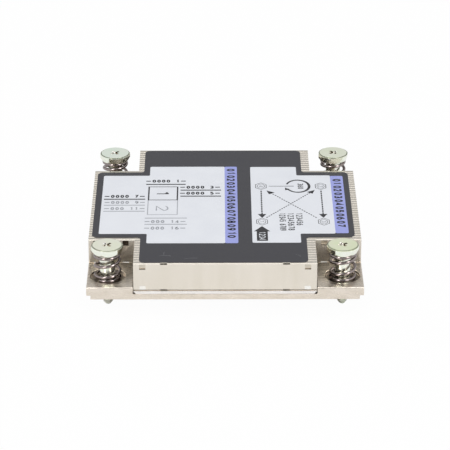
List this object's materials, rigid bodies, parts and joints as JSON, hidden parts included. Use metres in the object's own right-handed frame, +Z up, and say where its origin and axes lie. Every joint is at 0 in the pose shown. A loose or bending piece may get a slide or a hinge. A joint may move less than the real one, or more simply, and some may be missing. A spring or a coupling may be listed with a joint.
{
  "type": "server cpu heatsink",
  "caption": "Low passive heat sink for a server processor: folded sheet fins on a machined base plate, with a sprung captive screw at each corner and a label film on top.",
  "frame": {"origin": "under the middle of the heat sink, level with the tips of the four captive screws", "axes": "+X along the fins towards the right, +Y along the stack of fins from front to back, +Z up"},
  "size_m": [0.094, 0.099, 0.022],
  "materials": {
    "base_metal": "machined, nickel plated, satin",
    "fin_sheet": "folded sheet, nickel plated, satin",
    "label_film": "printed polyester film, semi-gloss",
    "zinc_plated_steel": "pale yellow-green zinc plating",
    "spring_wire": "polished drawn wire",
    "ring_steel": "stamped, black oxide"
  },
  "bodies": {
    "heatsink": {"base_plate": "base_metal", "heat_spreader": "base_metal", "label": "label_film", "long_fin_01": "fin_sheet", "long_fin_02": "fin_sheet", "long_fin_03": "fin_sheet", "long_fin_04": "fin_sheet", "long_fin_05": "fin_sheet", "long_fin_06": "fin_sheet", "long_fin_07": "fin_sheet", "long_fin_08": "fin_sheet", "long_fin_09": "fin_sheet", "long_fin_10": "fin_sheet", "long_fin_11": "fin_sheet", "long_fin_12": "fin_sheet", "long_fin_13": "fin_sheet", "long_fin_14": "fin_sheet", "long_fin_15": "fin_sheet", "long_fin_16": "fin_sheet", "long_fin_17": "fin_sheet", "long_fin_18": "fin_sheet", "long_fin_19": "fin_sheet", "long_fin_20": "fin_sheet", "long_fin_21": "fin_sheet", "long_fin_22": "fin_sheet", "long_fin_23": "fin_sheet", "long_fin_24": "fin_sheet", "long_fin_25": "fin_sheet", "long_fin_26": "fin_sheet", "long_fin_27": "fin_sheet", "long_fin_28": "fin_sheet", "long_fin_29": "fin_sheet", "long_fin_30": "fin_sheet", "long_fin_31": "fin_sheet", "front_fins_1": "fin_sheet", "front_fins_2": "fin_sheet", "front_fins_3": "fin_sheet", "front_fins_4": "fin_sheet", "front_fins_5": "fin_sheet", "rear_fins_1": "fin_sheet", "rear_fins_2": "fin_sheet", "rear_fins_3": "fin_sheet", "rear_fins_4": "fin_sheet", "rear_fins_5": "fin_sheet", "spring_front_left": "spring_wire", "spring_front_right": "spring_wire", "spring_rear_left": "spring_wire", "spring_rear_right": "spring_wire"},
    "ring_front_left": {"retaining_ring_front_left": "ring_steel"},
    "screw_front_left": {"captive_screw_front_left": "zinc_plated_steel"},
    "ring_front_right": {"retaining_ring_front_right": "ring_steel"},
    "screw_front_right": {"captive_screw_front_right": "zinc_plated_steel"},
    "ring_rear_left": {"retaining_ring_rear_left": "ring_steel"},
    "screw_rear_left": {"captive_screw_rear_left": "zinc_plated_steel"},
    "ring_rear_right": {"retaining_ring_rear_right": "ring_steel"},
    "screw_rear_right": {"captive_screw_rear_right": "zinc_plated_steel"}
  },
  "joints": [
    {"name": "screw_press_front_left", "type": "slide", "parent": "heatsink", "child": "ring_front_left", "axis": [0, 0, -1], "range_m": [0, 0.0035], "stiffness_N_per_m": 9100, "deforming": ["spring_front_left"]},
    {"name": "screw_turn_front_left", "type": "hinge", "parent": "ring_front_left", "child": "screw_front_left", "pos_m": [-0.04, -0.04, 0.0028], "axis": [0, 0, 1], "continuous": true},
    {"name": "screw_press_front_right", "type": "slide", "parent": "heatsink", "child": "ring_front_right", "axis": [0, 0, -1], "range_m": [0, 0.0035], "stiffness_N_per_m": 9100, "deforming": ["spring_front_right"]},
    {"name": "screw_turn_front_right", "type": "hinge", "parent": "ring_front_right", "child": "screw_front_right", "pos_m": [0.04, -0.04, 0.0028], "axis": [0, 0, 1], "continuous": true},
    {"name": "screw_press_rear_left", "type": "slide", "parent": "heatsink", "child": "ring_rear_left", "axis": [0, 0, -1], "range_m": [0, 0.0035], "stiffness_N_per_m": 9100, "deforming": ["spring_rear_left"]},
    {"name": "screw_turn_rear_left", "type": "hinge", "parent": "ring_rear_left", "child": "screw_rear_left", "pos_m": [-0.04, 0.04, 0.0028], "axis": [0, 0, 1], "continuous": true},
    {"name": "screw_press_rear_right", "type": "slide", "parent": "heatsink", "child": "ring_rear_right", "axis": [0, 0, -1], "range_m": [0, 0.0035], "stiffness_N_per_m": 9100, "deforming": ["spring_rear_right"]},
    {"name": "screw_turn_rear_right", "type": "hinge", "parent": "ring_rear_right", "child": "screw_rear_right", "pos_m": [0.04, 0.04, 0.0028], "axis": [0, 0, 1], "continuous": true}
  ]
}
